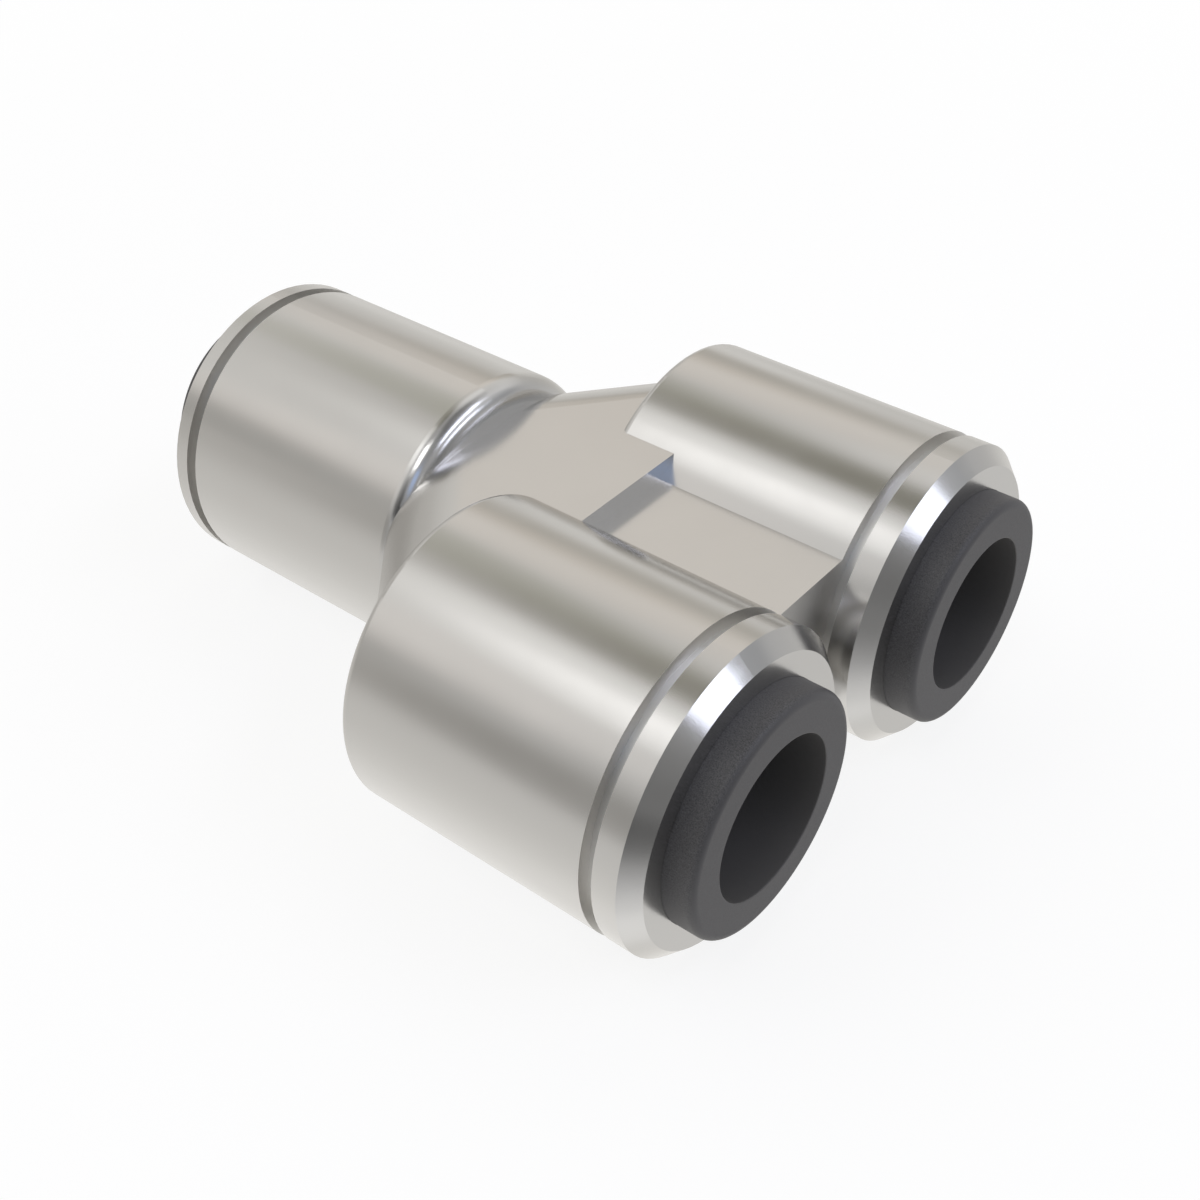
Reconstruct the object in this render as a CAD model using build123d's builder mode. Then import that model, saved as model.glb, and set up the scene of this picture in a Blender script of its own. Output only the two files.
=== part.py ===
# Push-in Y connector for 6 mm tube: one inlet, two parallel outlets, all lengths in millimetres.
# +X runs from the inlet to the outlets, +Y towards the left outlet and +Z up.
# The origin is on the inlet's axis, halfway between the inlet's end and the outlets' ends.

import os
from math import cos, radians, sin, tan

from build123d import *

os.makedirs("parts", exist_ok=True)

# Body
barrel_diameter = 12.3
body_length = 25.94
outlet_pitch = 13.6
inlet_barrel_length = 11.4
inlet_end_round = 0.9
outlet_barrel_length = 10.62
outlet_end_round = 0.3

# Web that joins the barrels
web_height = 9.3
web_edge_round = 3.4
web_flare_angle = 50.3
web_flare_start = 0.5
web_root_flat = 0.225
web_step_depth = 8.05
lower_web_height = 7.7

# Bores of the body, as depths below a mouth
tube_diameter = 6.0
cartridge_bore_diameter = 10.4
cartridge_bore_depth = 5.1
seal_seat_diameter = 9.0
seal_seat_width = 1.7
socket_clearance = 0.05
socket_chamfer = 0.3
tube_stop_depth = 9.6
flow_bore_diameter = 4.0
outlet_flow_bore_length = 0.8
gallery_diameter = 3.8
drill_point_angle = 118

# Collar, pressed into the mouth of a barrel
groove_width = 0.52
groove_depth = 0.52
inlet_collar_land = 0.63
outlet_collar_land = 0.97
collar_chamfer = 0.62
spigot_length = 2.6
counterbore_below_mouth = 0.2
lip_thickness = 0.8
lip_diameter = 8.1
relief_diameter = 9.0
press_clearance = 0.02

# Release ring
ring_head_diameter = 9.15
ring_head_proud = 1.22
ring_edge_round = 0.3
ring_bore_diameter = 6.2
ring_travel = 1.0
ring_stop_clearance = 0.15
ring_head_clearance = 0.03
ring_sleeve_clearance = 0.15
bead_height = 0.4
bead_width = 0.3
bead_clearance = 0.1
nose_wall = 0.2
nose_length = 3.2

# Grip ring, a spring steel washer with bent teeth
grip_thickness = 0.3
grip_root_diameter = 8.6
grip_tip_diameter = 5.7
tooth_angle = 45
tooth_count = 10
tooth_gap = 0.5

# Support ring between the grip ring and the seal
inner_ring_clearance = 0.05
support_mouth_diameter = 9.2
support_floor_diameter = 8.2
support_floor_thickness = 0.35
support_bore_diameter = 6.3

# Seal, an O-ring
seal_cord_diameter = 1.6
seal_bore_diameter = 5.7

# Radii and places that follow from the sizes above
barrel_radius = barrel_diameter / 2
spigot_radius = cartridge_bore_diameter / 2 - press_clearance
counterbore_floor = -counterbore_below_mouth
lip_back = counterbore_floor - lip_thickness
grip_front = -spigot_length
support_front = grip_front - grip_thickness
support_back = -cartridge_bore_depth
seal_seat_floor = support_back - seal_seat_width
body_middle = (inlet_collar_land - outlet_collar_land) / 2
inlet_mouth = body_middle - body_length / 2
outlet_mouth = body_middle + body_length / 2

# The ports: each has a name, a mouth centre and the way that it points along X.
ports = [
    ("inlet", (inlet_mouth, 0, 0), -1),
    ("left_outlet", (outlet_mouth, outlet_pitch / 2, 0), 1),
    ("right_outlet", (outlet_mouth, -outlet_pitch / 2, 0), 1),
]


def section_plane(mouth, way):
    """The plane of a port's turned profiles: x runs out of the mouth and y out from the axis."""
    return Plane(origin=mouth, x_dir=(way, 0, 0), z_dir=(0, -way, 0))


def turn(points, mouth, way, mode=Mode.ADD):
    """Revolve a closed profile of (distance out of the mouth, radius) points about a port's axis."""
    with BuildSketch(section_plane(mouth, way)) as profile:
        with BuildLine():
            Polyline(*points, close=True)
        make_face()
    revolve(profile.sketch, axis=Axis(mouth, (way, 0, 0)), mode=mode)


# Body: a flared web, three barrels, the lower web between the outlets, then the bores.
inlet_end = inlet_mouth + inlet_barrel_length
outlet_rear = outlet_mouth - outlet_barrel_length
web_step = outlet_mouth - web_step_depth
flare = tan(radians(web_flare_angle))
flare_x = inlet_end - web_flare_start
web_start_y = web_root_flat + web_edge_round / cos(radians(web_flare_angle))
web_start_x = flare_x - (barrel_radius - web_start_y) / flare
web_end_x = outlet_rear + web_flare_start
web_end_y = barrel_radius + (web_end_x - flare_x) * flare

with BuildPart() as body:
    with BuildSketch(Plane.XY):
        with BuildLine():
            Polyline(
                (web_start_x, 0),
                (web_start_x, web_start_y),
                (web_end_x, web_end_y),
                (web_end_x, outlet_pitch / 2),
                (web_step, outlet_pitch / 2),
                (web_step, 0),
                close=True,
            )
        make_face()
        mirror(about=Plane.XZ)
    extrude(amount=web_height / 2, both=True)
    # The flared walls' edges are the only ones that run oblique to the inlet's axis.
    flared_edges = body.edges().filter_by(lambda e: abs(e.tangent_at(0).X * e.tangent_at(0).Y) > 0.1)
    fillet(flared_edges, radius=web_edge_round)

    for name, mouth, way in ports:
        barrel_length = inlet_barrel_length if way < 0 else outlet_barrel_length
        end_round = inlet_end_round if way < 0 else outlet_end_round
        with BuildSketch(section_plane(mouth, way)) as barrel_section:
            with BuildLine():
                Polyline(
                    (0, 0), (0, barrel_radius), (-barrel_length, barrel_radius), (-barrel_length, 0), close=True
                )
            make_face()
            rear_corner = barrel_section.vertices().group_by(Axis.X)[0].sort_by(Axis.Y)[-1]
            fillet(rear_corner, radius=end_round)
        revolve(axis=Axis(mouth, (way, 0, 0)))

    with BuildSketch(Plane.YZ.offset(web_step)):
        Rectangle(outlet_pitch, lower_web_height)
    extrude(amount=web_step_depth)

    drill_point = flow_bore_diameter / 2 / tan(radians(drill_point_angle / 2))
    socket_radius = tube_diameter / 2 + socket_clearance
    gallery_run = outlet_pitch / 2 / flare
    junction_x = outlet_mouth - tube_stop_depth - gallery_run
    for name, mouth, way in ports:
        flow_depth = junction_x - inlet_mouth if way < 0 else tube_stop_depth + outlet_flow_bore_length
        turn(
            [
                (0, 0),
                (0, cartridge_bore_diameter / 2),
                (support_back, cartridge_bore_diameter / 2),
                (support_back, seal_seat_diameter / 2),
                (seal_seat_floor, seal_seat_diameter / 2),
                (seal_seat_floor, socket_radius + socket_chamfer),
                (seal_seat_floor - socket_chamfer, socket_radius),
                (-tube_stop_depth, socket_radius),
                (-tube_stop_depth, flow_bore_diameter / 2),
                (-flow_depth, flow_bore_diameter / 2),
                (-flow_depth - drill_point, 0),
            ],
            mouth,
            way,
            mode=Mode.SUBTRACT,
        )
    # The galleries run alongside the flared walls, from the inlet's flow bore to the outlets'.
    for side in (1, -1):
        along = (cos(radians(web_flare_angle)), side * sin(radians(web_flare_angle)), 0)
        with BuildSketch(Plane(origin=(junction_x, 0, 0), x_dir=(0, 0, 1), z_dir=along)):
            Circle(gallery_diameter / 2)
        extrude(amount=outlet_pitch / 2 / sin(radians(web_flare_angle)), mode=Mode.SUBTRACT)

body.part.label = "body"
export_step(body.part, "parts/body.step")

# The cartridge of each port, from the outside in.
for name, mouth, way in ports:
    # Collar: its shoulder stands on the body's end and leaves the groove behind its land.
    with BuildPart() as collar:
        collar_land = inlet_collar_land if way < 0 else outlet_collar_land
        collar_face = groove_width + collar_land + collar_chamfer
        groove_radius = barrel_radius - groove_depth
        counterbore_radius = ring_head_diameter / 2 + ring_head_clearance
        turn(
            [
                (collar_face, counterbore_radius),
                (collar_face, barrel_radius - collar_chamfer),
                (collar_face - collar_chamfer, barrel_radius),
                (groove_width, barrel_radius),
                (groove_width, groove_radius),
                (0, groove_radius),
                (0, spigot_radius),
                (-spigot_length, spigot_radius),
                (-spigot_length, relief_diameter / 2),
                (lip_back, relief_diameter / 2),
                (lip_back, lip_diameter / 2),
                (counterbore_floor, lip_diameter / 2),
                (counterbore_floor, counterbore_radius),
            ],
            mouth,
            way,
        )
    collar.part.label = f"{name}_collar"
    export_step(collar.part, f"parts/{name}_collar.step")

    # Release ring: its head slides in the collar's counterbore, its bead stops behind the lip, and
    # its nose pushes the teeth off the tube.
    with BuildPart() as release_ring:
        head_radius = ring_head_diameter / 2
        sleeve_radius = lip_diameter / 2 - ring_sleeve_clearance
        bore_radius = ring_bore_diameter / 2
        ring_face = collar_face + ring_head_proud
        head_back = counterbore_floor + ring_travel + ring_stop_clearance
        bead_front = lip_back - bead_clearance
        bead_back = bead_front - bead_width
        nose_radius = bore_radius + nose_wall
        nose_taper = sleeve_radius - nose_radius
        turn(
            [
                (ring_face, bore_radius),
                (ring_face, head_radius),
                (head_back, head_radius),
                (head_back, sleeve_radius),
                (bead_front, sleeve_radius),
                (bead_front, sleeve_radius + bead_height),
                (bead_back, sleeve_radius + bead_height),
                (bead_back - bead_height, sleeve_radius),
                (nose_taper - nose_length, sleeve_radius),
                (-nose_length, nose_radius),
                (-nose_length, bore_radius),
            ],
            mouth,
            way,
        )
        face_edges = release_ring.edges().group_by(Axis(mouth, (way, 0, 0)))[-1]
        fillet(face_edges.sort_by(SortBy.LENGTH)[-1], radius=ring_edge_round)
    release_ring.part.label = f"{name}_release_ring"
    export_step(release_ring.part, f"parts/{name}_release_ring.step")

    # Grip ring: a washer whose teeth bend into the body, with a round-ended slot between each two.
    with BuildPart() as grip_ring:
        root_radius = grip_root_diameter / 2
        tip_radius = grip_tip_diameter / 2
        rim_radius = cartridge_bore_diameter / 2 - inner_ring_clearance
        bend = radians(tooth_angle)
        tooth_depth = (root_radius - tip_radius) * tan(bend)
        tip_back = grip_thickness * sin(bend)
        tip_lift = grip_thickness * cos(bend)
        bend_back = root_radius + grip_thickness * tan(bend / 2)
        turn(
            [
                (grip_front, rim_radius),
                (grip_front, root_radius),
                (grip_front - tooth_depth, tip_radius),
                (grip_front - tooth_depth - tip_back, tip_radius + tip_lift),
                (support_front, bend_back),
                (support_front, rim_radius),
            ],
            mouth,
            way,
        )
        slot_start = tip_radius / 2
        slot_length = root_radius - slot_start
        with BuildSketch(Plane(origin=mouth, z_dir=(way, 0, 0))):
            with PolarLocations(slot_start + slot_length / 2, tooth_count):
                SlotOverall(slot_length, tooth_gap)
        extrude(amount=-cartridge_bore_depth, mode=Mode.SUBTRACT)
    grip_ring.part.label = f"{name}_grip_ring"
    export_step(grip_ring.part, f"parts/{name}_grip_ring.step")

    # Support ring: a cup that gives the teeth room to bend and keeps the seal in its seat.
    with BuildPart() as support_ring:
        support_floor = support_back + support_floor_thickness
        turn(
            [
                (support_front, rim_radius),
                (support_front, support_mouth_diameter / 2),
                (support_floor, support_floor_diameter / 2),
                (support_floor, support_bore_diameter / 2),
                (support_back, support_bore_diameter / 2),
                (support_back, rim_radius),
            ],
            mouth,
            way,
        )
    support_ring.part.label = f"{name}_support_ring"
    export_step(support_ring.part, f"parts/{name}_support_ring.step")

    # Seal: an O-ring in the seat below the support ring.
    with BuildPart() as seal:
        seal_radius = seal_bore_diameter / 2 + seal_cord_diameter / 2
        with BuildSketch(section_plane(mouth, way)):
            with Locations(((support_back + seal_seat_floor) / 2, seal_radius)):
                Circle(seal_cord_diameter / 2)
        revolve(axis=Axis(mouth, (way, 0, 0)))
    seal.part.label = f"{name}_seal"
    export_step(seal.part, f"parts/{name}_seal.step")
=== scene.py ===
"""Looks of the push-in Y connector: satin nickel body and collars, dark release rings, inner parts, studio.

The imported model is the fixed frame. Lengths in the properties are metres, as in the frame.
"""

from math import asin, cos, pi, radians, sin, sqrt, tan

import bpy
import bmesh
from bpy.props import (
    FloatProperty,
    FloatVectorProperty,
    IntProperty,
    PointerProperty,
)
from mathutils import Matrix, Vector


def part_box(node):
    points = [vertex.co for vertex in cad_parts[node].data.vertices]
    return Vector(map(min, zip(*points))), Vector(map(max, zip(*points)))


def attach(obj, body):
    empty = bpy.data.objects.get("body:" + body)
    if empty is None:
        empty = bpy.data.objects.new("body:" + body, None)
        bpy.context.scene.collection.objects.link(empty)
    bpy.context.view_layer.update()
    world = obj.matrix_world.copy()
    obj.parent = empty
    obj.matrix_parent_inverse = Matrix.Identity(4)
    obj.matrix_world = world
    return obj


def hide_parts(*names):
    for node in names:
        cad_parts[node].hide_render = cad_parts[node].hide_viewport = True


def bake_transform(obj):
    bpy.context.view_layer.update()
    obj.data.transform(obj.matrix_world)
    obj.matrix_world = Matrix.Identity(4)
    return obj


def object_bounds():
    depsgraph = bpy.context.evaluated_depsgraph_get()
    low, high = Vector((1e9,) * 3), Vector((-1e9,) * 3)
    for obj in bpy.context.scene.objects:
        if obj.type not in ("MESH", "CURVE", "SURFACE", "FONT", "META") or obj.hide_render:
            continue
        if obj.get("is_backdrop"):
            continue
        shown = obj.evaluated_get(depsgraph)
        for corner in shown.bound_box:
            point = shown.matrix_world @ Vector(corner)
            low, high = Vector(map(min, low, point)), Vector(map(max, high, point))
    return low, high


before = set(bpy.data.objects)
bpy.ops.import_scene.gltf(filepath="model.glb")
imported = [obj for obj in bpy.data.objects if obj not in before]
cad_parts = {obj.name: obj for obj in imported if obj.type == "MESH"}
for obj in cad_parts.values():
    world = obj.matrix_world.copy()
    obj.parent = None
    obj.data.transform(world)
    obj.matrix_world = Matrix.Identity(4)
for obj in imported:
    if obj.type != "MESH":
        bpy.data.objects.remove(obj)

bl_info = {
    "name": "Push-in Y Connector",
    "version": (1, 0, 0),
    "blender": (4, 5, 0),
    "location": "View3D > Sidebar > Y Connector",
    "description": "Finishes, inner parts and studio of a push-in Y connector for tubing",
    "category": "Add Mesh",
}

MM = 0.001
PORTS = ("inlet", "left_outlet", "right_outlet")


# Nodes

class Nodes:
    """Adds and links the nodes of one tree."""

    def __init__(self, tree):
        self.tree = tree
        tree.nodes.clear()

    def add(self, kind, inputs=None, **settings):
        """A node with its settings, and its inputs given as values or as sockets to link."""
        node = self.tree.nodes.new(kind)
        for key, value in settings.items():
            setattr(node, key, value)
        for key, value in (inputs or {}).items():
            if isinstance(value, bpy.types.NodeSocket):
                self.tree.links.new(value, node.inputs[key])
            else:
                node.inputs[key].default_value = value
        return node

    def math(self, operation, *values):
        """The output of a math node over values or sockets."""
        return self.add("ShaderNodeMath", dict(enumerate(values)), operation=operation).outputs[0]


def colour_property(name, description, default):
    return FloatVectorProperty(
        name=name, description=description, default=default, size=3, min=0, max=1, subtype="COLOR"
    )


def share_property(name, description, default):
    return FloatProperty(name=name, description=description, default=default, min=0, max=1, subtype="FACTOR")


def length_property(name, description, default):
    """A length whose default is given in millimetres."""
    return FloatProperty(name=name, description=description, default=default * MM, min=0, subtype="DISTANCE")


# Properties

class YCONNECTOR_PG_finish(bpy.types.PropertyGroup):
    """Colours and surface of the finishes"""

    nickel_colour: colour_property("Nickel", "Colour of the satin nickel plate", (0.645, 0.637, 0.625))
    nickel_roughness: share_property("Nickel roughness", "Roughness of the satin nickel plate", 0.20)
    grain_size: length_property("Grain", "Size of the plate's fine grain", 0.05)
    # The grooves' lighter colour is painted light that lifts their shade.
    groove_painted_light_colour: colour_property("Groove colour", "Colour of the grooves", (0.73, 0.72, 0.70))
    groove_roughness: share_property("Groove roughness", "Roughness of the grooves, left as turned", 0.38)
    groove_width: length_property("Groove", "Width of the groove behind each collar", 0.52)
    acetal_colour: colour_property("Acetal", "Colour of the moulded release rings", (0.0655, 0.064, 0.067))
    # The bores' lighter colour is painted light that lifts their shade.
    bore_painted_light_colour: colour_property("Acetal bore", "Colour of the rings' drawn bores", (0.088, 0.085, 0.083))
    speckle_size: length_property("Speckle", "Size of the acetal's speckle", 0.045)
    steel_colour: colour_property("Steel", "Colour of the toothed grip rings", (0.56, 0.56, 0.55))
    brass_colour: colour_property("Brass", "Colour of the support rings", (0.72, 0.52, 0.24))
    rubber_colour: colour_property("Rubber", "Colour of the seals", (0.012, 0.012, 0.012))


class YCONNECTOR_PG_release(bpy.types.PropertyGroup):
    """Sizes of the release rings"""

    proud: length_property("Proud", "How far the ring stands out of its collar", 1.22)
    head_radius: length_property("Head", "Radius of the head, a close slide in the collar", 4.593)
    bore_radius: length_property("Bore", "Radius of the bore that lets the tube by", 3.1)
    sleeve_radius: length_property("Sleeve", "Radius of the sleeve behind the head", 3.9)
    edge_round: length_property("Edge round", "Round on the face's outer edge", 0.3)
    edge_break: length_property("Edge break", "Break on the other edges that show", 0.04)
    head_back: length_property("Head back", "Distance of the head's back out of the mouth", 0.95)
    bead_depth: length_property("Bead", "Depth of the snap bead below the mouth", 1.1)
    bead_width: length_property("Bead width", "Width of the snap bead", 0.3)
    bead_height: length_property("Bead height", "Height of the snap bead over the sleeve", 0.4)
    nose_depth: length_property("Nose", "Depth of the nose's end below the mouth", 3.2)
    nose_wall: length_property("Nose wall", "Wall at the nose's end", 0.2)


class YCONNECTOR_PG_grip(bpy.types.PropertyGroup):
    """Sizes of the toothed grip rings"""

    teeth: IntProperty(name="Teeth", description="Number of teeth", default=10, min=3, max=24)
    depth: length_property("Depth", "Depth of the ring's front below the mouth", 2.6)
    thickness: length_property("Thickness", "Thickness of the steel", 0.3)
    rim_radius: length_property("Rim", "Outer radius", 5.15)
    root_radius: length_property("Root", "Radius at which the teeth bend", 4.3)
    tip_radius: length_property("Tip", "Radius at the teeth's tips", 2.85)
    gap: length_property("Gap", "Width of the slot between two teeth", 0.5)
    angle: FloatProperty(name="Bend", description="Bend of the teeth", default=radians(45), subtype="ANGLE")


class YCONNECTOR_PG_studio(bpy.types.PropertyGroup):
    """Camera and light of the studio"""

    camera_place: FloatVectorProperty(
        name="Camera", description="Where the camera stands", subtype="TRANSLATION", unit="LENGTH",
        default=(35.53 * MM, -40.37 * MM, 39.91 * MM),
    )
    camera_azimuth: FloatProperty(
        name="Azimuth", description="Turn of the view from +Y towards -X", default=radians(38.54),
        subtype="ANGLE",
    )
    camera_elevation: FloatProperty(
        name="Elevation", description="Height of the camera above the horizon", default=radians(38.68),
        subtype="ANGLE",
    )
    lens: FloatProperty(
        name="Lens", description="Focal length in millimetres", default=50.12, subtype="DISTANCE_CAMERA"
    )
    floor_colour: colour_property("Floor", "Share of the light that the floor scatters", (0.24, 0.24, 0.24))


def finish():
    return bpy.context.scene.y_connector_finish


def studio():
    return bpy.context.scene.y_connector_studio


# Places

def mouth(port):
    """Centre of a port's mouth, on the body's end."""
    low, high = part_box("body")
    side_low, side_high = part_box(f"{port}_collar")
    x = low.x if port == "inlet" else high.x
    return Vector((x, (side_low.y + side_high.y) / 2, 0))


def way(port):
    """The way that a port points along X."""
    return -1 if port == "inlet" else 1


def collar_face(port):
    """Distance of a collar's face out of the mouth."""
    low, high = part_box(f"{port}_collar")
    face = low.x if port == "inlet" else high.x
    return (face - mouth(port).x) * way(port)


# Materials

# Nickel: the size of the slow clouds in its roughness and how far they vary it, and how far the mask of the
# grooves reaches past their walls.
CLOUD_SIZE = 2.5 * MM
CLOUD_SPREAD = 0.02
GROOVE_MARGIN = 0.004 * MM

# Release rings: how far past the bore's radius its colour, painted light in the bore, begins to fade and has
# gone, and the radii at which the speckle, and with it the side's painted shade, passes from the face's
# strength to the side's.
BORE_FADE = (0.01 * MM, 0.04 * MM)
FACE_EDGE = 4.45 * MM
SIDE_EDGE = 4.58 * MM
FACE_SPECKLE = 0.15
SIDE_SPECKLE = 2.3

# The rings' colour is multiplied by the shade, which drops a little with the speckle's strength, so that the
# side is painted a little darker than the face: painted shade. The speckle swings their roughness about its
# middle.
SHADE = 1.26
PAINTED_SIDE_SHADE = -0.03
ACETAL_ROUGHNESS = 0.5
ROUGHNESS_SWING = 0.25


def new_material(name):
    material = bpy.data.materials.new(name)
    material.use_nodes = True
    return material, Nodes(material.node_tree)


def satin_nickel():
    """Nickel plate over a fine grain that bends the normal, with clouds in its roughness.

    The grooves are duller, and painted lighter than the plate: painted light that lifts their shade.
    """
    material, nodes = new_material("satin_nickel")
    f = finish()
    place = nodes.add("ShaderNodeTexCoord").outputs["Object"]
    grain = nodes.add(
        "ShaderNodeTexNoise", {"Vector": place, "Scale": 1 / f.grain_size, "Detail": 2.0, "Roughness": 0.5}
    )
    cloud = nodes.add(
        "ShaderNodeTexNoise", {"Vector": place, "Scale": 1 / CLOUD_SIZE, "Detail": 3.0, "Roughness": 0.6}
    )
    rough = nodes.add(
        "ShaderNodeMapRange",
        {"Value": cloud.outputs["Fac"], "From Min": 0.3, "From Max": 0.7,
         "To Min": f.nickel_roughness - CLOUD_SPREAD, "To Max": f.nickel_roughness + CLOUD_SPREAD},
    )
    low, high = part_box("body")
    x = nodes.add("ShaderNodeSeparateXYZ", {"Vector": place}).outputs["X"]
    from_middle = nodes.math("ABSOLUTE", nodes.math("SUBTRACT", x, (low.x + high.x) / 2))
    groove_middle = (high.x - low.x + f.groove_width) / 2
    in_groove = nodes.math("COMPARE", from_middle, groove_middle, f.groove_width / 2 + GROOVE_MARGIN)
    dull = nodes.add(
        "ShaderNodeMix", {"Factor": in_groove, "A": rough.outputs["Result"], "B": f.groove_roughness}
    ).outputs["Result"]
    # The grooves' lighter colour is painted light that lifts their shade.
    plate = nodes.add(
        "ShaderNodeMix", {"Factor": in_groove, "A": (*f.nickel_colour, 1), "B": (*f.groove_painted_light_colour, 1)},
        data_type="RGBA",
    ).outputs["Result"]
    bump = nodes.add(
        "ShaderNodeBump", {"Height": grain.outputs["Fac"], "Strength": 0.25, "Distance": 0.004 * MM}
    )
    shader = nodes.add(
        "ShaderNodeBsdfPrincipled",
        {"Base Color": plate, "Metallic": 1.0, "Roughness": dull, "Normal": bump.outputs["Normal"]},
    )
    nodes.add("ShaderNodeOutputMaterial", {"Surface": shader.outputs["BSDF"]})
    return material


def moulded_acetal(port):
    """Dark acetal with a speckled spark-eroded skin; the bore has the face's light speckle and a lighter
    colour, painted light that lifts its shade, and the side is painted a little darker, painted shade.
    """
    material, nodes = new_material(f"moulded_acetal_{port}")
    f = finish()
    place = nodes.add("ShaderNodeTexCoord").outputs["Object"]
    off_axis = nodes.add("ShaderNodeVectorMath", {0: place, 1: (0, mouth(port).y, 0)}, operation="SUBTRACT")
    across = nodes.add("ShaderNodeVectorMath", {0: off_axis.outputs[0], 1: (0, 1, 1)}, operation="MULTIPLY")
    radius = nodes.add("ShaderNodeVectorMath", {0: across.outputs[0]}, operation="LENGTH").outputs["Value"]
    bore_radius = bpy.context.scene.y_connector_release.bore_radius
    in_bore = nodes.add(
        "ShaderNodeMapRange",
        {"Value": radius, "From Min": bore_radius + BORE_FADE[1], "From Max": bore_radius + BORE_FADE[0]},
    ).outputs["Result"]
    # The bore's lighter colour is painted light that lifts its shade.
    base = nodes.add(
        "ShaderNodeMix", {"Factor": in_bore, "A": (*f.acetal_colour, 1), "B": (*f.bore_painted_light_colour, 1)},
        data_type="RGBA",
    )
    grain = nodes.add(
        "ShaderNodeTexNoise", {"Vector": place, "Scale": 1 / f.speckle_size, "Detail": 1.0, "Roughness": 0.6}
    ).outputs["Fac"]
    strength = nodes.add(
        "ShaderNodeMapRange",
        {"Value": radius, "From Min": FACE_EDGE, "From Max": SIDE_EDGE,
         "To Min": FACE_SPECKLE, "To Max": SIDE_SPECKLE},
    ).outputs["Result"]
    # The shade drops towards the side: painted shade on the ring's side.
    shade = nodes.math("MULTIPLY_ADD", strength, PAINTED_SIDE_SHADE, SHADE)
    swing = nodes.math("SUBTRACT", grain, 0.5)
    speckle = nodes.math("MULTIPLY_ADD", swing, strength, shade)
    colour = nodes.add(
        "ShaderNodeVectorMath", {0: base.outputs["Result"], "Scale": speckle}, operation="SCALE"
    )
    rough = nodes.math("MULTIPLY_ADD", swing, ROUGHNESS_SWING, ACETAL_ROUGHNESS)
    bump = nodes.add("ShaderNodeBump", {"Height": grain, "Strength": 0.25, "Distance": 0.008 * MM})
    shader = nodes.add(
        "ShaderNodeBsdfPrincipled",
        {"Base Color": colour.outputs[0], "Roughness": rough, "Normal": bump.outputs["Normal"]},
    )
    nodes.add("ShaderNodeOutputMaterial", {"Surface": shader.outputs["BSDF"]})
    return material


def grained(name, colour, metallic, roughness, grain_size, grain_height):
    """One colour over a fine grain that bends the normal."""
    material, nodes = new_material(name)
    place = nodes.add("ShaderNodeTexCoord").outputs["Object"]
    grain = nodes.add("ShaderNodeTexNoise", {"Vector": place, "Scale": 1 / grain_size, "Detail": 2.0})
    bump = nodes.add(
        "ShaderNodeBump", {"Height": grain.outputs["Fac"], "Strength": 0.2, "Distance": grain_height}
    )
    shader = nodes.add(
        "ShaderNodeBsdfPrincipled",
        {"Base Color": (*colour, 1), "Metallic": metallic, "Roughness": roughness,
         "Normal": bump.outputs["Normal"]},
    )
    nodes.add("ShaderNodeOutputMaterial", {"Surface": shader.outputs["BSDF"]})
    return material


def plain_metal(name, colour, roughness):
    return grained(name, colour, 1.0, roughness, grain_size=0.08 * MM, grain_height=0.005 * MM)


def seal_rubber():
    return grained(
        "seal_rubber", finish().rubber_colour, 0.0, roughness=0.6, grain_size=0.1 * MM, grain_height=0.01 * MM
    )


# Surround

# The room as the metal sees it. Heights are the sine of the elevation, from the nadir to the zenith, with
# the level of the walls there.
ROOM_LEVELS = (
    (-1.0, 0.93), (-0.87, 0.96), (-0.70, 0.84), (-0.50, 0.76), (-0.26, 0.72), (0.0, 0.60), (0.17, 0.57),
    (0.34, 0.60), (0.45, 0.74), (0.55, 0.82), (0.66, 0.78), (0.77, 0.70), (0.90, 0.55), (1.0, 0.42),
)

# Soft round banks of light and dark flags in the room. Each has its azimuth from +X towards +Y, its
# elevation, the radius of its middle and of its rim, all in degrees, then its tint and its strength.
PLAIN = (1.0, 1.0, 1.0)
WARM = (1.05, 1.0, 0.93)
SKY = (0.95, 1.0, 1.22)
ROOM_SHAPES = (
    ("warm back of the room", 165, -10, 60, 110, (0.5, 0.0, -1.0), 0.03),
    ("dark side of the room", -30, 14, 34, 66, PLAIN, -0.37),
    ("low dark side", -42, -11, 6, 17, PLAIN, -0.20),
    ("side wall", 45, 25, 6, 22, WARM, -0.20),
    ("far floor", 32, -60, 18, 48, (0.95, 1.0, 1.1), -0.12),
    ("near floor", -34, -70, 4, 18, PLAIN, 0.17),
    ("doorway", -92, 30, 7, 21, PLAIN, -0.50),
    ("dark ceiling", 28, 68, 9, 25, PLAIN, -0.26),
    ("dark corner", 168, 69, 2, 16, (1.04, 1.04, 1.12), -0.25),
    ("soft corner", 156, 50, 3, 13, (1.04, 1.0, 1.2), -0.15),
    ("great bank", -132, 54, 2, 13, PLAIN, 0.64),
    ("high bank", -153, 60, 2, 15, PLAIN, 0.45),
    ("low flag", -114, 4, 5, 17, PLAIN, -0.20),
    ("second low flag", -134, 17, 3, 11, (1.0, 0.96, 0.92), -0.12),
    ("shelf over the low flags", -133, 32, 6, 15, (1.2, 0.97, 0.85), 0.08),
    ("left low wall", 129, 2, 8, 17, PLAIN, 0.15),
    ("right low wall", 111, 7, 5, 13, PLAIN, 0.13),
    ("warm line", 121, 21, 5, 15, (0.85, 0.95, 1.15), -0.10),
    ("back bank", 110, 62, 4, 18, PLAIN, 0.35),
    ("warm back wall", 129, 35, 7, 17, (1.0, 0.5, 0.1), 0.06),
    ("small window", -28, 24, 2, 5, PLAIN, 1.0),
    ("blue wall", -52, 39, 4, 11, (0.35, 0.8, 1.8), 0.35),
)

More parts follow.
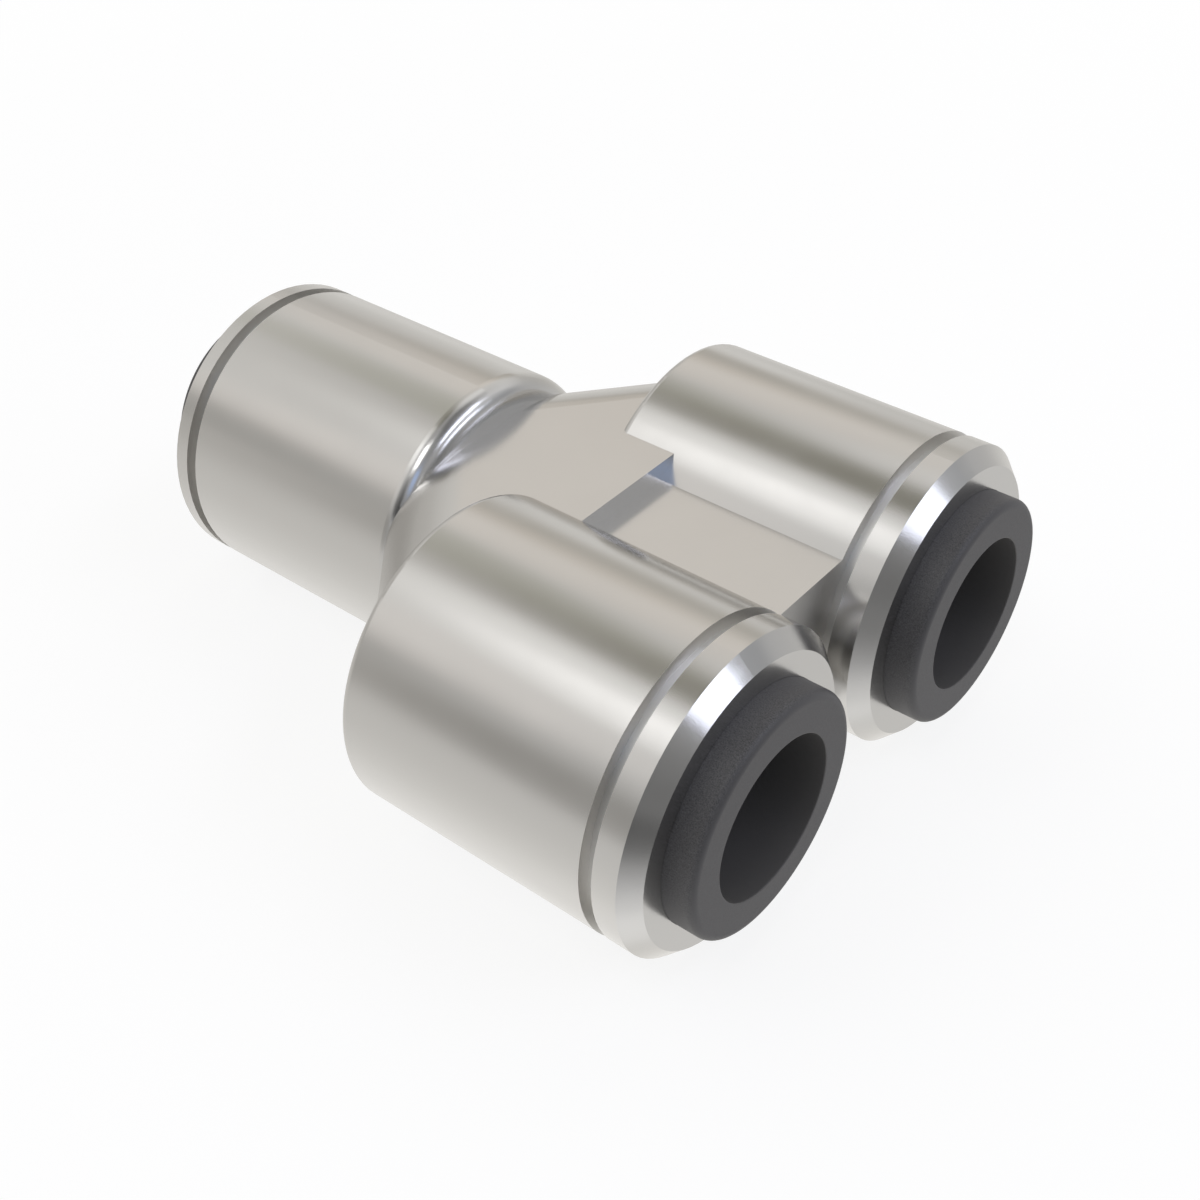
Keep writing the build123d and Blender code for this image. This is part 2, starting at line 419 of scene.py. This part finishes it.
# Windows, as area lamps: azimuth, elevation, angular width and height in degrees, colour and radiance.
WINDOWS = (
    ("upper_window", 18, 53, 36, 10, SKY, 2.6),
    ("lower_window", 17.5, 30, 28, 8, SKY, 2.2),
    ("side_window", -80, 61, 17, 18, PLAIN, 2.6),
)
WINDOW_DISTANCE = 0.35

# The room is nowhere darker than this.
DARKEST = 0.04

# Floor: its own white, the distances from the part over which it fades to plain white, and its half width.
OWN_WHITE = 0.82
FADE_START = 0.03
FADE_END = 0.12
FLOOR_HALF = 0.6


def towards(azimuth, elevation):
    """Unit vector at an azimuth and an elevation in degrees."""
    a, e = radians(azimuth), radians(elevation)
    return Vector((cos(e) * cos(a), cos(e) * sin(a), sin(e)))


def sees_white(nodes):
    """1 for the camera's rays and those that pass through a piece, else 0."""
    rays = nodes.add("ShaderNodeLightPath").outputs
    return nodes.math("MAXIMUM", rays["Is Camera Ray"], rays["Is Transmission Ray"])


def room_world():
    """World whose camera and transmission rays see white and whose other rays see the room.

    The metal's rays see the room too: plain white would wipe the soft bands off the nickel.
    """
    world = bpy.data.worlds.new("room")
    world.use_nodes = True
    nodes = Nodes(world.node_tree)
    direction = nodes.add("ShaderNodeTexCoord").outputs["Generated"]
    height = nodes.add("ShaderNodeSeparateXYZ", {"Vector": direction}).outputs["Z"]
    ramp = nodes.add("ShaderNodeValToRGB", {"Fac": nodes.math("MULTIPLY_ADD", height, 0.5, 0.5)})
    elements = ramp.color_ramp.elements
    while len(elements) < len(ROOM_LEVELS):
        elements.new(1.0)
    for element, (sine, value) in zip(elements, ROOM_LEVELS):
        element.position = (sine + 1) / 2
        element.color = (value, value, value, 1)
    level = ramp.outputs["Color"]
    for label, azimuth, elevation, middle, rim, tint, strength in ROOM_SHAPES:
        near = nodes.add(
            "ShaderNodeVectorMath", {0: direction, 1: towards(azimuth, elevation)}, operation="DOT_PRODUCT"
        ).outputs["Value"]
        mask = nodes.add(
            "ShaderNodeMapRange",
            {"Value": near, "From Min": cos(radians(rim)), "From Max": cos(radians(middle))},
            interpolation_type="SMOOTHSTEP", label=label,
        ).outputs["Result"]
        level = nodes.add(
            "ShaderNodeVectorMath",
            {0: [channel * strength for channel in tint], 1: mask, 2: level},
            operation="MULTIPLY_ADD",
        ).outputs["Vector"]
    level = nodes.add("ShaderNodeVectorMath", {0: level, 1: [DARKEST] * 3}, operation="MAXIMUM")
    room = nodes.add("ShaderNodeBackground", {"Color": level.outputs["Vector"]})
    white = nodes.add("ShaderNodeBackground", {"Color": (1, 1, 1, 1)})
    mix = nodes.add("ShaderNodeMixShader", {0: sees_white(nodes), 1: room.outputs[0], 2: white.outputs[0]})
    nodes.add("ShaderNodeOutputWorld", {"Surface": mix.outputs[0]})
    return world


def window(name, azimuth, elevation, width, height, colour, radiance):
    """Area lamp that fills a rectangle of the sky and faces the part."""
    light = bpy.data.lights.new(name, "AREA")
    light.shape = "RECTANGLE"
    light.size = 2 * WINDOW_DISTANCE * tan(radians(width / 2))
    light.size_y = 2 * WINDOW_DISTANCE * tan(radians(height / 2))
    light.color = colour
    light.energy = radiance * pi * light.size * light.size_y
    lamp = bpy.data.objects.new(name, light)
    out = towards(azimuth, elevation)
    lamp.location = out * WINDOW_DISTANCE
    lamp.rotation_mode = "QUATERNION"
    lamp.rotation_quaternion = out.to_track_quat("Z", "Y")
    lamp.visible_camera = False
    bpy.context.scene.collection.objects.link(lamp)


def floor_material():
    """White floor that keeps the part's faint shadow: its own white and the light on it add up to 1.

    Away from the part it fades to a plain white, so that its far edge doesn't show.
    """
    material, nodes = new_material("white_floor")
    seen = sees_white(nodes)
    lit = nodes.add("ShaderNodeBsdfDiffuse", {"Color": (*studio().floor_colour, 1)})
    own = nodes.add("ShaderNodeEmission", {"Strength": nodes.math("MULTIPLY", seen, OWN_WHITE)})
    near = nodes.add("ShaderNodeAddShader", {0: lit.outputs[0], 1: own.outputs[0]})
    far = nodes.add("ShaderNodeEmission", {"Strength": seen})
    place = nodes.add("ShaderNodeTexCoord").outputs["Object"]
    reach = nodes.add("ShaderNodeVectorMath", {0: place}, operation="LENGTH").outputs["Value"]
    fade = nodes.add(
        "ShaderNodeMapRange", {"Value": reach, "From Min": FADE_START, "From Max": FADE_END},
        interpolation_type="SMOOTHSTEP",
    )
    floor = nodes.add(
        "ShaderNodeMixShader", {0: fade.outputs["Result"], 1: near.outputs[0], 2: far.outputs[0]}
    )
    nodes.add("ShaderNodeOutputMaterial", {"Surface": floor.outputs[0]})
    return material


# Operators

# Angle between two faces from which their edge stays sharp.
SHARP_ANGLE = radians(30)


def paint(material, *names):
    """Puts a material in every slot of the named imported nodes."""
    for name in names:
        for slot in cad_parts[name].material_slots:
            slot.material = material


def stand(name, mesh, material):
    """An object at the origin whose place is in its mesh, smooth but for its edges."""
    mesh.materials.clear()
    mesh.materials.append(material)
    mesh.shade_smooth()
    mesh.set_sharp_from_angle(angle=SHARP_ANGLE)
    obj = bpy.data.objects.new(name, mesh)
    bpy.context.scene.collection.objects.link(obj)
    return obj


def face_outwards(mesh):
    """Turns the faces of a closed shell outwards."""
    shell = bmesh.new()
    shell.from_mesh(mesh)
    bmesh.ops.recalc_face_normals(shell, faces=shell.faces)
    shell.to_mesh(mesh)
    shell.free()


def with_support(profile, margin=0.02 * MM):
    """The profile with a point close to both ends of every long run, so that it is shaded as a flat."""
    points = []
    for start, end in zip(profile, profile[1:] + profile[:1]):
        a, b = Vector(start), Vector(end)
        points.append(start)
        if (b - a).length > 5 * margin:
            points += [tuple(a + (b - a).normalized() * margin), tuple(b - (b - a).normalized() * margin)]
    return points


def turned_mesh(name, profile, port, steps=144):
    """Closed profile of (distance out of the mouth, radius) points, turned about a port's axis."""
    centre, out = mouth(port), way(port)
    profile = with_support(profile)
    vertices = [
        (centre.x + out * distance, centre.y + radius * sin(2 * pi * i / steps),
         radius * cos(2 * pi * i / steps))
        for i in range(steps) for distance, radius in profile
    ]
    count = len(profile)
    faces = [
        (i * count + j, i * count + (j + 1) % count, (i + 1) % steps * count + (j + 1) % count,
         (i + 1) % steps * count + j)
        for i in range(steps) for j in range(count)
    ]
    mesh = bpy.data.meshes.new(name)
    mesh.from_pydata(vertices, [], faces)
    face_outwards(mesh)
    return mesh


def corner_round(distance, radius, size, start, steps=6):
    """Quarter round of a profile whose centre is (distance, radius), from the angle start on."""
    return [
        (distance + size * cos(start + pi / 2 * i / steps), radius + size * sin(start + pi / 2 * i / steps))
        for i in range(steps + 1)
    ]


class YCONNECTOR_OT_release_rings(bpy.types.Operator):
    """Turn the release rings with their rounded face, snap bead and tapered nose"""

    bl_idname = "yconnector.release_rings"
    bl_label = "Release Rings"

    def execute(self, context):
        r = context.scene.y_connector_release
        for port in PORTS:
            face = collar_face(port) + r.proud
            nose_taper = r.sleeve_radius - r.bore_radius - r.nose_wall
            face_round = corner_round(face - r.edge_round, r.head_radius - r.edge_round, r.edge_round, 0)
            bore_break = corner_round(
                face - r.edge_break, r.bore_radius + r.edge_break, -r.edge_break, pi / 2, steps=2
            )
            profile = [
                (-r.nose_depth, r.bore_radius),
                (-r.nose_depth, r.bore_radius + r.nose_wall),
                (nose_taper - r.nose_depth, r.sleeve_radius),
                (-r.bead_depth - r.bead_width - r.bead_height, r.sleeve_radius),
                (-r.bead_depth - r.bead_width, r.sleeve_radius + r.bead_height),
                (-r.bead_depth, r.sleeve_radius + r.bead_height),
                (-r.bead_depth, r.sleeve_radius),
                (r.head_back, r.sleeve_radius),
                (r.head_back, r.head_radius - r.edge_break),
                (r.head_back + r.edge_break, r.head_radius),
                *reversed(face_round),
                *reversed(bore_break),
            ]
            mesh = turned_mesh(f"{port}_release_ring_turned", profile, port)
            ring = stand(f"{port}_release_ring_turned", mesh, moulded_acetal(port))
            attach(ring, f"{port}_release")
            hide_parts(f"{port}_release_ring")
        return {"FINISHED"}


# Grip rings: the distance within which the points that two teeth share are merged.
MERGE_DISTANCE = 0.001 * MM


def tooth_mesh():
    """One sector of a grip ring about +X, with its share of the rim and one tooth bent towards -X."""
    g = bpy.context.scene.y_connector_grip
    half_turn = pi / g.teeth
    half_gap = g.gap / 2
    slope = tan(g.angle)
    back_bend = g.root_radius + g.thickness * tan(g.angle / 2)
    back_tip = g.tip_radius + g.thickness * cos(g.angle)

    def half_angle(radius):
        """Half the angle that the steel takes at a radius: all of the sector, less the slot's half."""
        if radius >= g.root_radius:
            return half_turn
        past = max(0, radius - g.root_radius + half_gap)
        return half_turn - asin(sqrt(max(0, half_gap ** 2 - past ** 2)) / radius)

    def front(radius):
        return -g.depth - slope * max(0, g.root_radius - radius)

    def back(radius):
        return -g.depth - g.thickness - slope * max(0, back_bend - radius)

    end = g.root_radius - half_gap
    slot_steps, tooth_steps, columns = 6, 4, 6
    slot_rows = [end + half_gap * sin(pi / 2 * i / slot_steps) for i in range(1, slot_steps + 1)]
    tooth_rows = [back_tip + (end - back_tip) * i / tooth_steps for i in range(tooth_steps + 1)] + slot_rows
    rim_rows = [back_bend, (back_bend + g.rim_radius) / 2, g.rim_radius]
    loop = [(front(radius), radius) for radius in reversed(tooth_rows + rim_rows)]
    loop += [(front(g.tip_radius), g.tip_radius)]
    loop += [(back(radius), radius) for radius in tooth_rows + rim_rows]
    vertices = []
    for c in range(columns + 1):
        for distance, radius in loop:
            angle = half_angle(radius) * (2 * c / columns - 1)
            vertices.append((distance, radius * sin(angle), radius * cos(angle)))
    count = len(loop)
    faces = [
        (c * count + j, c * count + (j + 1) % count, (c + 1) * count + (j + 1) % count, (c + 1) * count + j)
        for c in range(columns) for j in range(count)
    ]
    # The tooth's two sides join its front rows to its back rows, and meet in a point at the tip.
    tip = len(tooth_rows + rim_rows)
    for start in (0, columns * count):
        faces.append((start + tip, start + tip - 1, start + tip + 1))
        for step in range(1, len(tooth_rows)):
            faces.append(
                (start + tip - step, start + tip - step - 1, start + tip + step + 1, start + tip + step)
            )
    mesh = bpy.data.meshes.new("grip_tooth")
    mesh.from_pydata(vertices, [], faces)
    return mesh


def ring_of_teeth():
    """Node tree that sets the teeth round a port's axis and moves the ring to its mouth."""
    tree = bpy.data.node_groups.new("ring_of_teeth", "GeometryNodeTree")
    face = tree.interface
    face.new_socket("Geometry", in_out="INPUT", socket_type="NodeSocketGeometry")
    face.new_socket("Teeth", in_out="INPUT", socket_type="NodeSocketInt")
    face.new_socket("Mouth", in_out="INPUT", socket_type="NodeSocketVector")
    face.new_socket("Turn", in_out="INPUT", socket_type="NodeSocketFloat")
    face.new_socket("Steel", in_out="INPUT", socket_type="NodeSocketMaterial")
    face.new_socket("Geometry", in_out="OUTPUT", socket_type="NodeSocketGeometry")
    nodes = Nodes(tree)
    given = nodes.add("NodeGroupInput").outputs
    places = nodes.add("GeometryNodeMeshLine", {"Count": given["Teeth"], "Offset": (0, 0, 0)}).outputs["Mesh"]
    step = nodes.math("DIVIDE", 2 * pi, given["Teeth"])
    angle = nodes.math("MULTIPLY", nodes.add("GeometryNodeInputIndex").outputs[0], step)
    turn = nodes.add("ShaderNodeCombineXYZ", {"X": angle}).outputs[0]
    teeth = nodes.add(
        "GeometryNodeInstanceOnPoints", {"Points": places, "Instance": given["Geometry"], "Rotation": turn}
    ).outputs[0]
    heading = nodes.add("ShaderNodeCombineXYZ", {"Z": given["Turn"]}).outputs[0]
    placed = nodes.add(
        "GeometryNodeTransform", {"Geometry": teeth, "Translation": given["Mouth"], "Rotation": heading}
    ).outputs[0]
    solid = nodes.add("GeometryNodeRealizeInstances", {"Geometry": placed}).outputs[0]
    joined = nodes.add(
        "GeometryNodeMergeByDistance", {"Geometry": solid, "Distance": MERGE_DISTANCE}
    ).outputs[0]
    steel = nodes.add("GeometryNodeSetMaterial", {"Geometry": joined, "Material": given["Steel"]}).outputs[0]
    nodes.add("NodeGroupOutput", {"Geometry": steel})
    return tree


class YCONNECTOR_OT_grip_rings(bpy.types.Operator):
    """Set the bent teeth of each grip ring"""

    bl_idname = "yconnector.grip_rings"
    bl_label = "Grip Rings"

    def execute(self, context):
        g = context.scene.y_connector_grip
        steel = plain_metal("spring_steel", finish().steel_colour, 0.25)
        tree = ring_of_teeth()
        sockets = {item.name: item.identifier for item in tree.interface.items_tree if item.in_out == "INPUT"}
        tooth = tooth_mesh()
        for port in PORTS:
            centre, out = mouth(port), way(port)
            pattern = bpy.data.objects.new(f"{port}_teeth", tooth)
            context.scene.collection.objects.link(pattern)
            modifier = pattern.modifiers.new("teeth", "NODES")
            modifier.node_group = tree
            modifier[sockets["Teeth"]] = g.teeth
            modifier[sockets["Mouth"]] = centre
            modifier[sockets["Turn"]] = 0.0 if out > 0 else pi
            modifier[sockets["Steel"]] = steel
            result = pattern.evaluated_get(context.evaluated_depsgraph_get())
            mesh = bpy.data.meshes.new_from_object(result)
            bpy.data.objects.remove(pattern)
            mesh.name = f"{port}_grip_ring_toothed"
            face_outwards(mesh)
            ring = stand(mesh.name, mesh, steel)
            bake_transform(ring)
            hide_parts(f"{port}_grip_ring")
        bpy.data.meshes.remove(tooth)
        return {"FINISHED"}


class YCONNECTOR_OT_finish_pieces(bpy.types.Operator):
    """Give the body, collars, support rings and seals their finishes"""

    bl_idname = "yconnector.finish_pieces"
    bl_label = "Finish Pieces"

    def execute(self, context):
        f = finish()
        nickel = satin_nickel()
        paint(nickel, "body", *[f"{p}_collar" for p in PORTS])
        paint(plain_metal("turned_brass", f.brass_colour, 0.3), *[f"{p}_support_ring" for p in PORTS])
        paint(seal_rubber(), *[f"{p}_seal" for p in PORTS])
        return {"FINISHED"}


class YCONNECTOR_OT_studio(bpy.types.Operator):
    """Set up the floor, the light and the camera"""

    bl_idname = "yconnector.studio"
    bl_label = "Studio"

    def execute(self, context):
        s = studio()
        scene = context.scene
        scene.world = room_world()
        scene.view_settings.view_transform = "Standard"

        low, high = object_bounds()
        mesh = bpy.data.meshes.new("floor")
        corners = [(x * FLOOR_HALF, y * FLOOR_HALF, low.z) for x, y in ((-1, -1), (1, -1), (1, 1), (-1, 1))]
        mesh.from_pydata(corners, [], [(0, 1, 2, 3)])
        floor = bpy.data.objects.new("floor", mesh)
        mesh.materials.append(floor_material())
        scene.collection.objects.link(floor)
        floor.visible_glossy = False
        floor.visible_diffuse = False
        floor.visible_shadow = False
        floor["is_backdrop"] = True

        for lamp in WINDOWS:
            window(*lamp)

        lens = bpy.data.cameras.new("camera")
        lens.lens = s.lens
        lens.sensor_width = 36
        lens.clip_start = 0.001
        lens.clip_end = 10
        camera = bpy.data.objects.new("camera", lens)
        scene.collection.objects.link(camera)
        a, e = s.camera_azimuth, s.camera_elevation
        back = Vector((sin(a) * cos(e), -cos(a) * cos(e), sin(e)))
        camera.location = s.camera_place
        camera.rotation_mode = "QUATERNION"
        camera.rotation_quaternion = back.to_track_quat("Z", "Y")
        scene.camera = camera
        return {"FINISHED"}


class YCONNECTOR_PT_panel(bpy.types.Panel):
    """Sizes, colours and steps of the connector"""

    bl_idname = "YCONNECTOR_PT_panel"
    bl_label = "Y Connector"
    bl_space_type = "VIEW_3D"
    bl_region_type = "UI"
    bl_category = "Y Connector"

    def draw(self, context):
        layout = self.layout
        scene = context.scene
        groups = (
            scene.y_connector_finish, scene.y_connector_release, scene.y_connector_grip,
            scene.y_connector_studio,
        )
        for group in groups:
            column = layout.column(align=True)
            for name in group.__annotations__:
                column.prop(group, name)
        for operator in OPERATORS:
            layout.operator(operator.bl_idname)


OPERATORS = (
    YCONNECTOR_OT_finish_pieces, YCONNECTOR_OT_release_rings, YCONNECTOR_OT_grip_rings, YCONNECTOR_OT_studio
)
CLASSES = (
    YCONNECTOR_PG_finish, YCONNECTOR_PG_release, YCONNECTOR_PG_grip, YCONNECTOR_PG_studio, *OPERATORS,
    YCONNECTOR_PT_panel,
)


def register():
    for cls in CLASSES:
        bpy.utils.register_class(cls)
    bpy.types.Scene.y_connector_finish = PointerProperty(type=YCONNECTOR_PG_finish)
    bpy.types.Scene.y_connector_release = PointerProperty(type=YCONNECTOR_PG_release)
    bpy.types.Scene.y_connector_grip = PointerProperty(type=YCONNECTOR_PG_grip)
    bpy.types.Scene.y_connector_studio = PointerProperty(type=YCONNECTOR_PG_studio)


def unregister():
    del bpy.types.Scene.y_connector_studio
    del bpy.types.Scene.y_connector_grip
    del bpy.types.Scene.y_connector_release
    del bpy.types.Scene.y_connector_finish
    for cls in reversed(CLASSES):
        bpy.utils.unregister_class(cls)


def main():
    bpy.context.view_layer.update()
    register()
    bpy.ops.yconnector.finish_pieces()
    bpy.ops.yconnector.release_rings()
    bpy.ops.yconnector.grip_rings()
    bpy.ops.yconnector.studio()


if __name__ == "__main__":
    main()
